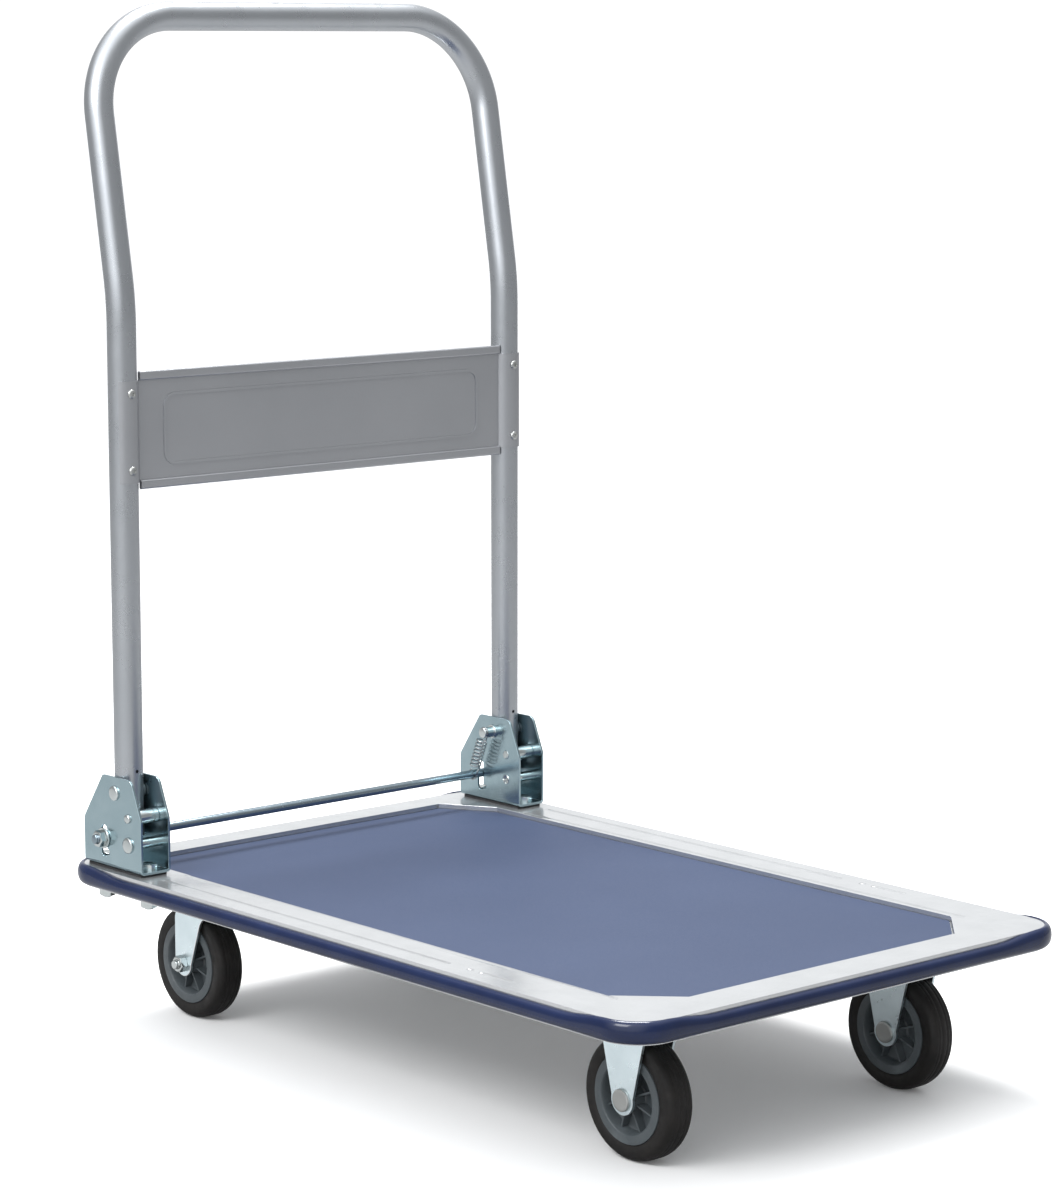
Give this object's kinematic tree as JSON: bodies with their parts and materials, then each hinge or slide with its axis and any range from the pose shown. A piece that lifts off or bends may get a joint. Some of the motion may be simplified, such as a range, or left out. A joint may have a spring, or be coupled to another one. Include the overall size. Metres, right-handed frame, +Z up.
{
  "type": "folding platform cart",
  "caption": "Flat-deck platform cart with a fold-down U handle, a spring-loaded release bar, an edge bumper, and fixed and swivel casters.",
  "frame": {"origin": "on the floor, under the middle of the deck with its bumper", "axes": "+X forward, away from the handle; +Y to the left; +Z up"},
  "size_m": [0.74, 0.486, 0.8852],
  "materials": {
    "pan_steel": "bright galvanised sheet with faint rolling lines",
    "mat": "matt blue vinyl with a fine leather grain",
    "bumper": "glossy navy vinyl",
    "pad_rubber": "matt black rubber",
    "handle_paint": "satin silver-grey paint",
    "panel_paint": "satin silver-grey paint",
    "zinc_bracket": "bright blue-passivated zinc plate",
    "spring_steel": "bright drawn spring wire",
    "rivet_zinc": "satin zinc plate",
    "dark_steel": "oiled steel",
    "caster_zinc": "zinc plate",
    "tyre_rubber": "matt black rubber",
    "hub_plastic": "moulded grey polypropylene",
    "bar_steel": "satin blue-grey drawn steel",
    "fastener_zinc": "bright zinc plate"
  },
  "bodies": {
    "deck": {"deck_pan": "pan_steel", "anti_slip_mat": "mat", "edge_bumper": "bumper", "front_cross_member": "pan_steel", "rear_cross_member": "pan_steel", "centre_stiffener": "pan_steel", "left_handle_bracket": "zinc_bracket", "right_handle_bracket": "zinc_bracket", "bracket_pads": "pad_rubber", "bracket_bolts": "fastener_zinc", "bracket_nuts": "fastener_zinc", "bracket_washers": "fastener_zinc", "bracket_spacers": "dark_steel", "pivot_pins": "fastener_zinc", "upper_stop_pins": "fastener_zinc", "stop_sleeves": "fastener_zinc", "lower_stop_pins": "fastener_zinc", "left_front_fork": "caster_zinc", "right_front_fork": "caster_zinc", "front_axles": "rivet_zinc", "front_caster_bolts": "fastener_zinc", "front_caster_nuts": "fastener_zinc", "left_swivel_plate": "caster_zinc", "right_swivel_plate": "caster_zinc", "kingpins": "caster_zinc", "rear_caster_bolts": "fastener_zinc", "rear_caster_nuts": "fastener_zinc"},
    "release": {"release_bar": "bar_steel", "release_bar_washers": "fastener_zinc", "release_bar_nuts": "fastener_zinc", "left_return_spring": "spring_steel", "right_return_spring": "spring_steel"},
    "handle": {"handle_tube": "handle_paint", "handle_panel": "panel_paint", "panel_rivets": "rivet_zinc", "pivot_bushes": "dark_steel"},
    "left_front_wheel": {"left_front_tyre": "tyre_rubber", "left_front_hub": "hub_plastic", "left_front_bush": "dark_steel"},
    "left_swivel": {"left_swivel_fork": "caster_zinc", "left_bearing_balls": "dark_steel", "left_rear_axle": "fastener_zinc", "left_rear_axle_nut": "fastener_zinc"},
    "left_rear_wheel": {"left_rear_tyre": "tyre_rubber", "left_rear_hub": "hub_plastic", "left_rear_bush": "dark_steel"},
    "right_front_wheel": {"right_front_tyre": "tyre_rubber", "right_front_hub": "hub_plastic", "right_front_bush": "dark_steel"},
    "right_swivel": {"right_swivel_fork": "caster_zinc", "right_bearing_balls": "dark_steel", "right_rear_axle": "fastener_zinc", "right_rear_axle_nut": "fastener_zinc"},
    "right_rear_wheel": {"right_rear_tyre": "tyre_rubber", "right_rear_hub": "hub_plastic", "right_rear_bush": "dark_steel"}
  },
  "joints": [
    {"name": "handle_fold", "type": "hinge", "parent": "deck", "child": "handle", "pos_m": [-0.3024, 0, 0.209], "axis": [0, 1, 0], "range_deg": [0, 90]},
    {"name": "release_press", "type": "slide", "parent": "deck", "child": "release", "axis": [0, 0, -1], "range_m": [0, 0.012], "stiffness_N_per_m": 2000, "springref_m": -0.006, "deforming": ["left_return_spring", "right_return_spring"]},
    {"name": "left_front_roll", "type": "hinge", "parent": "deck", "child": "left_front_wheel", "pos_m": [0.2713, 0.1468, 0.05], "axis": [0, 1, 0], "continuous": true},
    {"name": "right_front_roll", "type": "hinge", "parent": "deck", "child": "right_front_wheel", "pos_m": [0.2713, -0.1468, 0.05], "axis": [0, 1, 0], "continuous": true},
    {"name": "left_swivel_turn", "type": "hinge", "parent": "deck", "child": "left_swivel", "pos_m": [-0.259, 0.1517, 0.1], "axis": [0, 0, 1], "continuous": true},
    {"name": "left_rear_roll", "type": "hinge", "parent": "left_swivel", "child": "left_rear_wheel", "pos_m": [-0.2908, 0.1517, 0.05], "axis": [0, 1, 0], "continuous": true},
    {"name": "right_swivel_turn", "type": "hinge", "parent": "deck", "child": "right_swivel", "pos_m": [-0.259, -0.1517, 0.1], "axis": [0, 0, 1], "continuous": true},
    {"name": "right_rear_roll", "type": "hinge", "parent": "right_swivel", "child": "right_rear_wheel", "pos_m": [-0.2908, -0.1517, 0.05], "axis": [0, 1, 0], "continuous": true}
  ]
}
